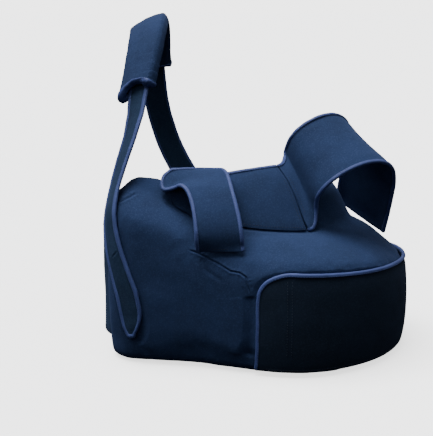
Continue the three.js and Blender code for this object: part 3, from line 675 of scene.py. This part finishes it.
def plain_floor(name, colour, glow):
    """A pale floor that is softly lit from below, as a light table is."""
    material = bpy.data.materials.new(name)
    material.use_nodes = True
    tree, make = node_tools(material)
    shader = make("ShaderNodeBsdfPrincipled", Roughness=0.85)
    shader.inputs["Base Color"].default_value = linear(*colour)
    shader.inputs["Emission Color"].default_value = (1, 1, 1, 1)
    shader.inputs["Emission Strength"].default_value = glow
    shader.inputs["Specular IOR Level"].default_value = 0.1
    out = make("ShaderNodeOutputMaterial")
    tree.links.new(shader.outputs["BSDF"], out.inputs["Surface"])
    return material


COVER = cloth("cover_cloth", (33, 48, 80), (29, 43, 72), (60, 78, 118), sheen=0.12, pile=1.0)
PANEL = cloth("panel_cloth", (21, 32, 48), (18, 28, 42), (40, 54, 74), sheen=0.06, pile=1.0)
LOOP = cloth("loop_cloth", (30, 47, 70), (26, 41, 62), (54, 74, 102), sheen=0.1, pile=1.4)
TAPE = ribbed_tape("edging_tape", (60, 75, 128), (50, 64, 112))
THREAD = ribbed_tape("stitching", (74, 90, 140), (62, 76, 122))
DARK_THREAD = ribbed_tape("seam_thread", (27, 38, 60), (20, 29, 46))


# Pieces

def finish_piece(obj, slot_name, *replaced):
    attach(obj, "root")
    if replaced:
        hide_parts(*replaced)
    return obj


def tape_along(name, runs, thickness, replaced, inner):
    """Tape folded over a sheet's edge, with fine waves in its width.

    Each point of its section says how far outwards it lies and how high above the sheet's inner face.
    """
    top = thickness + TAPE_STAND
    section = [
        (inner, thickness / MM - 0.4), (inner + 0.1, thickness / MM + 0.5), (inner + 0.7, top / MM - 0.12),
        (2.7, top / MM + 0.02), (4.0, top / MM), (5.1, top / MM - 0.4), (5.95, 0.76 * top / MM),
        (6.35, 0.5 * top / MM), (6.0, 0.24 * top / MM), (5.1, 0.06 * top / MM), (3.9, 0.0),
        (2.0, 0.0), (inner, 0.2),
    ]
    vertices, faces, uvs = [], [], []
    size = len(section)
    for run in runs:
        samples = resample(run, TAPE_STEP)
        start = len(vertices)
        for k, (point, normal, out, at) in enumerate(samples):
            wave = 0.25 * MM * noise.noise(point * 90) + 0.1 * MM * noise.noise(point * 420)
            end = min(k, len(samples) - 1 - k)
            tight = 0.8 if end == 0 else 1.0
            for i, (u, v) in enumerate(section):
                stretch = 1 + wave / (5 * MM) if u > 2 else 1
                height = (v * MM - top / 2) * tight + top / 2 - thickness + wave * (0.5 if v > 2 else 0)
                vertices.append(point + out * (u * MM * stretch * tight) + normal * height)
                uvs.append((at, i * 1.3 * MM))
        for k in range(len(samples) - 1):
            for i in range(size):
                a = start + k * size + i
                b = start + k * size + (i + 1) % size
                faces.append((a, b, b + size, a + size))
        faces.append(tuple(start + i for i in range(size))[::-1])
        faces.append(tuple(start + (len(samples) - 1) * size + i for i in range(size)))
    obj = new_object(name, vertices, faces, TAPE, uvs)
    fix_normals(obj)
    return finish_piece(obj, "tape", *replaced)


def fix_normals(obj):
    bm = bmesh.new()
    bm.from_mesh(obj.data)
    bmesh.ops.recalc_face_normals(bm, faces=bm.faces)
    bm.to_mesh(obj.data)
    bm.free()


def stitches(name, paths, material, slot_name, length=2.7, pitch=3.9, radius=0.38):
    """Rows of stitches. Each path is a list of (point, normal) in order."""
    rng = random.Random(name)
    vertices, faces, uvs = [], [], []
    ring = 6
    profile = [(0.0, 0.05), (0.12, 0.75), (0.5, 1.0), (0.88, 0.75), (1.0, 0.05)]
    for path in paths:
        lengths = [0.0]
        for (a, _), (b, _) in zip(path, path[1:]):
            lengths.append(lengths[-1] + (b - a).length)
        at = 1.2 * MM
        k = 0
        while at + length * MM < lengths[-1]:
            while k < len(lengths) - 2 and at > lengths[k + 1]:
                k += 1
            t = (at - lengths[k]) / (lengths[k + 1] - lengths[k])
            point = path[k][0].lerp(path[k + 1][0], t)
            normal = path[k][1].lerp(path[k + 1][1], t).normalized()
            along = (path[k + 1][0] - path[k][0]).normalized()
            side = normal.cross(along).normalized()
            along = (along + side * rng.uniform(-0.06, 0.06)).normalized()
            start = len(vertices)
            for share, fat in profile:
                arch = radius * MM * (0.2 - 1.4 * (2 * share - 1) ** 2)
                centre = point + along * (share * length * MM) + normal * arch
                for i in range(ring):
                    angle = 2 * math.pi * i / ring
                    vertices.append(
                        centre + side * (math.cos(angle) * radius * fat * MM)
                        + normal * (math.sin(angle) * radius * fat * MM)
                    )
                    uvs.append((at + share * length * MM, angle * MM))
            for j in range(len(profile) - 1):
                for i in range(ring):
                    a = start + j * ring + i
                    b = start + j * ring + (i + 1) % ring
                    faces.append((a, b, b + ring, a + ring))
            at += pitch * MM
    obj = new_object(name, vertices, faces, material, uvs)
    fix_normals(obj)
    return finish_piece(obj, slot_name)


def tape_stitch_paths(runs):
    """Lines just inside the tape's inner edge, on its outer face."""
    paths = []
    for run in runs:
        samples = resample(run, TAPE_STEP)
        paths.append([
            (point + out * (TAPE_STITCH_OUT * MM) + normal * (TAPE_STAND + 0.1 * MM), normal)
            for point, normal, out, _ in samples
        ])
    return paths


def edge_distance(obj):
    """Each point's distance to the sheet's outline."""
    bm = bmesh.new()
    bm.from_mesh(obj.data)
    rim = [v.co.copy() for v in bm.verts if v.is_boundary]
    bm.free()
    tree = KDTree(len(rim))
    for k, co in enumerate(rim):
        tree.insert(co, k)
    tree.balance()
    return np.array([tree.find(Vector(p))[2] for p in positions(obj)])


def crown(obj, height, seed):
    """Lets the middle stand above the sewn edges, with small puckers beside them."""
    distance = edge_distance(obj)
    co = positions(obj)
    rise = height * (1 - np.exp(-(distance / (9 * MM)) ** 2))
    puckers = 0.32 * soft_noise(co, 95, seed) * np.exp(-((distance - 5 * MM) / (4 * MM)) ** 2)
    keep = 1 - np.exp(-distance / (1.5 * MM))
    set_positions(obj, co + normals(obj) * ((rise + puckers) * keep * MM)[:, None])


def sheet_piece(node, material, tape_nodes, towards=None):
    """The sheet of a node, from its outer face inwards, finely divided, crowned and a little uneven."""
    bm = outer_face(node, towards)
    inner = [v for v in bm.verts if not v.is_boundary]
    for _ in range(SHEETS[node]["eased"]):
        bmesh.ops.smooth_vert(bm, verts=inner, factor=0.5, use_axis_x=True, use_axis_y=True, use_axis_z=True)
    if SHEETS[node]["let_out"]:
        let_out(bm, tape_nodes, SHEETS[node]["let_out"] * MM)
    if tape_nodes:
        skirt(bm, tape_nodes)
    obj = from_bmesh(node + "_cloth", bm, material)
    bm.free()
    subdivide(obj, 2)
    undulate(obj, SHEETS[node]["waves"])
    crown(obj, SHEETS[node]["crown"], 31)
    return obj


def thicken(obj, thickness):
    modifier = obj.modifiers.new("wall", "SOLIDIFY")
    modifier.thickness = thickness
    modifier.offset = -1
    modifier.use_even_offset = True
    bake(obj)
    obj.data.polygons.foreach_set("use_smooth", [True] * len(obj.data.polygons))
    edge = obj.modifiers.new("edge", "BEVEL")
    edge.width = 0.9 * MM
    edge.segments = 2
    edge.limit_method = "ANGLE"
    edge.angle_limit = math.radians(50)
    bake(obj)


def swelled(node):
    """A padded piece: the node's solid on an even grid, smoothed and swelled a little."""
    form = PADDED[node]
    bm = weld(node)
    obj = from_bmesh(node + "_cloth", bm, COVER)
    bm.free()
    remesh = obj.modifiers.new("even", "REMESH")
    remesh.mode = "VOXEL"
    remesh.voxel_size = form["grid"] * MM
    bake(obj)
    smooth = obj.modifiers.new("smooth", "SMOOTH")
    smooth.factor = 0.5
    smooth.iterations = form["smoothing"]
    bake(obj)
    inflate(obj, form["pressure"], form["cap"] * MM)
    return obj


def make_pillow():
    """The foam body in its cover, creased where the photograph shows it."""
    obj = swelled("pillow")
    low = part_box("pillow")[0].z
    settled = positions(obj)
    settled[:, 2] = np.maximum(settled[:, 2], low)
    set_positions(obj, settled)
    subdivide(obj, 1)
    undulate(obj, PADDED["pillow"]["waves"])
    for crease in CREASES:
        path = on_surface(obj, crease["path"])
        refine(obj, path, 3.5 * crease["width"] * MM)
        carve(obj, path, crease["depth"], crease["width"], crease["pucker"])
    keep_under(obj)
    final = positions(obj)
    final[:, 2] = np.maximum(final[:, 2], low)
    set_positions(obj, final)
    return finish_piece(obj, "cover", "pillow")


def keep_under(obj):
    """Keeps the pillow's surface within its solid where a sheet lies on it, and near it elsewhere."""
    solid = weld("pillow")
    skin = BVHTree.FromBMesh(solid)
    solid.free()
    sheets = []
    for node in THICKNESS:
        bm = weld(node)
        sheets.append(BVHTree.FromBMesh(bm))
        bm.free()
    co = positions(obj)
    for k, point in enumerate(co):
        place, normal = skin.find_nearest(Vector(point))[:2]
        out = (Vector(point) - place).dot(normal)
        gaps = [tree.find_nearest(place, SHEET_REACH)[3] for tree in sheets]
        gap = min((value for value in gaps if value is not None), default=SHEET_REACH)
        allowed = PILLOW_SLACK + PILLOW_STAND_OUT * min(max(gap / SHEET_FADE - 0.4, 0), 1)
        if out > allowed:
            co[k] -= np.array(normal) * (out - allowed)
    set_positions(obj, co)


def inflate(obj, pressure, cap):
    """Swells a closed form with the cloth solver, and limits how far any point may move."""
    rest = positions(obj)
    modifier = obj.modifiers.new("cloth", "CLOTH")
    settings = modifier.settings
    settings.quality = 5
    settings.mass = 0.3
    settings.tension_stiffness = 15
    settings.compression_stiffness = 15
    settings.bending_stiffness = 0.5
    settings.use_pressure = True
    settings.uniform_pressure_force = pressure
    settings.effector_weights.gravity = 0
    modifier.collision_settings.use_collision = False
    scene = bpy.context.scene
    modifier.point_cache.frame_start = 1
    modifier.point_cache.frame_end = SWELL_FRAMES
    for number in range(1, SWELL_FRAMES + 1):
        scene.frame_set(number)
    bake(obj)
    scene.frame_set(1)
    moved = positions(obj) - rest
    distance = np.linalg.norm(moved, axis=1, keepdims=True)
    limited = moved * np.minimum(1, cap / np.maximum(distance, 1e-9))
    set_positions(obj, rest + limited)


def make_pad():
    """The padded sleeve on the strap."""
    obj = swelled("shoulder_pad")
    undulate(obj, PADDED["shoulder_pad"]["waves"])
    return finish_piece(obj, "cover", "shoulder_pad")


def sleeve_end(line, front):
    """The faces of the sleeve's solid at its front or rear end, to measure distances from."""
    middles, lengths, _ = line
    solid = weld("shoulder_pad")
    along = to_line(np.array([tuple(face.calc_center_median()) for face in solid.faces]), middles)[1]
    at = along.min() if front else along.max()
    k = int(np.clip(np.searchsorted(lengths, at), 1, len(lengths) - 1))
    outward = Vector(middles[k - 1] - middles[k] if front else middles[k] - middles[k - 1]).normalized()
    faces = [
        face for face, place in zip(solid.faces, along)
        if abs(place - at) < SLEEVE_END_REACH and face.normal.dot(outward) > 0.6
    ]
    corners = [vertex.co.copy() for face in faces for vertex in face.verts]
    tree = BVHTree.FromPolygons(corners, [(3 * i, 3 * i + 1, 3 * i + 2) for i in range(len(faces))])
    solid.free()
    return tree


def end_binding(node, pad, line, front):
    """Tape folded over one end of the sleeve, taken from the sleeve's own surface."""
    end = sleeve_end(line, front)
    bm = bmesh.new()
    bm.from_mesh(pad.data)
    distance = {vertex: end.find_nearest(vertex.co)[3] for vertex in bm.verts}
    beyond = [face for face in bm.faces if min(distance[v] for v in face.verts) > BINDING_WIDTH]
    bmesh.ops.delete(bm, geom=beyond, context="FACES")
    for vertex in bm.verts:
        place, _, _, gap = end.find_nearest(vertex.co)
        if vertex.is_boundary and gap > BINDING_WIDTH:
            vertex.co = place + (vertex.co - place).normalized() * BINDING_WIDTH
    obj = from_bmesh(node + "_cloth", bm, TAPE)
    bm.free()
    wall = obj.modifiers.new("wall", "SOLIDIFY")
    wall.thickness = BINDING_THICK
    wall.offset = 0
    bake(obj)
    subdivide(obj, 1)
    return finish_piece(obj, "tape", node)


def edged(node, tape_node, towards=None, inner=TAPE_INNER):
    """The tape along a sheet's edge, and its stitching."""
    bm = outer_face(node, towards)
    runs = edge_runs(bm, tape_node)
    bm.free()
    tape = tape_along(tape_node + "_cloth", runs, THICKNESS[node], [tape_node], inner)
    seam = stitches(tape_node + "_stitches", tape_stitch_paths(runs), THREAD, "tape")
    return [tape, seam]


def on_sheet(tree, points, lift):
    """Points brought onto a sheet's outer face, each with the face's normal."""
    found = []
    for point in points:
        place, normal = tree.find_nearest(point)[:2]
        found.append((place + normal * (lift * MM), normal))
    return found


def sewn_down(node, obj, tape_nodes, inset, towards=None):
    """A row of stitches beside those edges of a sheet that have no tape."""
    bm = outer_face(node, towards)
    runs = edge_runs(bm, *tape_nodes, free=True)
    bm.free()
    tree = BVHTree.FromObject(obj, bpy.context.evaluated_depsgraph_get())
    paths = []
    for run in runs:
        samples = resample(run, 3.0 * MM)
        trim = min(2, len(samples) // 4)
        points = [point - out * (inset * MM) for point, _, out, _ in samples[trim:len(samples) - trim]]
        if len(points) > 3:
            paths.append(on_sheet(tree, points, 0.1))
    return stitches(node + "_stitches", paths, DARK_THREAD, "cover") if paths else None


def box_stitch(obj):
    """A crossed box of stitches where the strap's end is sewn to the belt."""
    bm = outer_face("shoulder_strap")
    end = min(edge_runs(bm, "strap_binding", free=True), key=lambda run: run[0][0].z)
    bm.free()
    tree = BVHTree.FromObject(obj, bpy.context.evaluated_depsgraph_get())
    middle = (end[0][0] + end[-1][0]) / 2
    across = (end[-1][0] - end[0][0]).normalized()
    back = -(end[0][2] + end[-1][2]).normalized()
    half = BOX_HALF_SHARE * (end[-1][0] - end[0][0]).length
    near = middle + back * BOX_NEAR
    far = middle + back * BOX_FAR
    corners = [near - across * half, near + across * half, far + across * half, far - across * half]
    lines = [(0, 1), (1, 2), (2, 3), (3, 0), (0, 2), (1, 3)]
    paths = []
    for a, b in lines:
        points = [corners[a].lerp(corners[b], k / 14) for k in range(15)]
        paths.append(on_sheet(tree, points, 0.1))
    return stitches("strap_end_stitches", paths, THREAD, "tape")


def press_seam(obj, seam):
    """Presses a seam into a sheet whose grid is made finer beside it, and gives its path."""
    path = on_surface(obj, seam["path"])
    for reach in seam["refine"]:
        refine(obj, path, reach * MM)
    carve(obj, path, seam["depth"], seam["width"], 0.0)
    return path


UP = Vector((0, 0, 1))

make_pillow()
line = strap_line()
pad = make_pad()
pad_front = end_binding("pad_front_binding", pad, line, front=True)
pad_rear = end_binding("pad_rear_binding", pad, line, front=False)
for piece in (pad, pad_front, pad_rear):
    lie(piece, line, SLEEVE_SLANT)

belt = sheet_piece("waist_belt", LOOP, [])
flap = sheet_piece("rim_flap", COVER, ["rim_binding"], towards=UP)
panel = sheet_piece("front_panel", PANEL, ["panel_binding"])
strap = sheet_piece("shoulder_strap", LOOP, ["strap_binding"])
wrist = sheet_piece("wrist_band", COVER, ["wrist_binding"])
cuff = sheet_piece("upper_arm_cuff", COVER, ["cuff_upper_binding", "cuff_lower_binding"])

panel_seam = press_seam(panel, PANEL_SEAM)
panel_tree = BVHTree.FromObject(panel, bpy.context.evaluated_depsgraph_get())
panel_points = [a.lerp(b, t / 8) for a, b in zip(panel_seam, panel_seam[1:]) for t in range(8)]
press_seam(strap, STRAP_SEAM)

for node, obj, slot_name in [
    ("waist_belt", belt, "loop"),
    ("rim_flap", flap, "cover"),
    ("front_panel", panel, "cover"),
    ("shoulder_strap", strap, "loop"),
    ("wrist_band", wrist, "cover"),
    ("upper_arm_cuff", cuff, "cover"),
]:
    thicken(obj, THICKNESS[node])
    finish_piece(obj, slot_name, node)

flap_edge = edged("rim_flap", "rim_binding", towards=UP)
panel_edge = edged("front_panel", "panel_binding")
strap_edge = edged("shoulder_strap", "strap_binding", inner=STRAP_TAPE_INNER)
wrist_edge = edged("wrist_band", "wrist_binding")
cuff_edge = edged("upper_arm_cuff", "cuff_upper_binding") + edged("upper_arm_cuff", "cuff_lower_binding")

flap_seam = sewn_down("rim_flap", flap, ["rim_binding"], HEM_INSET, towards=UP)
panel_hem = sewn_down("front_panel", panel, ["panel_binding"], HEM_INSET)
belt_hem = sewn_down("waist_belt", belt, ["panel_binding"], BELT_HEM_INSET)
wrist_end = sewn_down("wrist_band", wrist, ["wrist_binding"], HEM_INSET)
cuff_ends = sewn_down("upper_arm_cuff", cuff, ["cuff_upper_binding", "cuff_lower_binding"], HEM_INSET)
panel_rows = stitches(
    "panel_seam_stitches",
    [
        on_sheet(panel_tree, [p + Vector((side * SEAM_ROW_OFF * MM, 0, 0)) for p in panel_points], 0.1)
        for side in (-1, 1)
    ],
    DARK_THREAD, "cover",
)
strap_box = box_stitch(strap)
for piece in (strap, *strap_edge, strap_box):
    lie(piece, line)


# Floor, light and camera

def make_floor():
    half = FLOOR_HALF
    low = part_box("pillow")[0].z
    corners = [(-half, -half, low), (half, -half, low), (half, half, low), (-half, half, low)]
    floor = new_object("floor", corners, [(0, 1, 2, 3)], plain_floor("pale_floor", FLOOR_COLOUR, FLOOR_GLOW))
    floor.visible_diffuse = False
    floor.visible_glossy = False


def soft_sun(name, towards, strength, spread):
    """A wide, even light that shines along a direction. Its spread is the angle that it fills in the sky."""
    light = bpy.data.lights.new(name, "SUN")
    light.energy = strength
    light.angle = math.radians(spread)
    obj = bpy.data.objects.new(name, light)
    obj.rotation_mode = "QUATERNION"
    obj.rotation_quaternion = Vector(towards).to_track_quat("-Z", "Y")
    bpy.context.scene.collection.objects.link(obj)


def make_world(brightness):
    """A plain pale surround. The soft suns alone light the object."""
    world = bpy.data.worlds.new("studio")
    bpy.context.scene.world = world
    world.use_nodes = True
    back = world.node_tree.nodes["Background"]
    back.inputs["Color"].default_value = (1, 1, 1, 1)
    back.inputs["Strength"].default_value = brightness
    world.cycles_visibility.diffuse = False
    world.cycles_visibility.glossy = False


def make_camera():
    data = bpy.data.cameras.new("camera")
    data.sensor_width = SENSOR
    data.lens = FOCAL_PIXELS * SENSOR / max(FRAME_WIDTH, FRAME_HEIGHT)
    data.clip_start = 0.05
    data.clip_end = 30
    camera = bpy.data.objects.new("camera", data)
    camera.location = CAMERA_AT
    camera.rotation_euler = (math.pi / 2 - CAMERA_TILT, 0, 0)
    bpy.context.scene.collection.objects.link(camera)
    bpy.context.scene.camera = camera


make_floor()
make_world(WORLD_BRIGHTNESS)
for sun in SUNS:
    soft_sun(**sun)
make_camera()
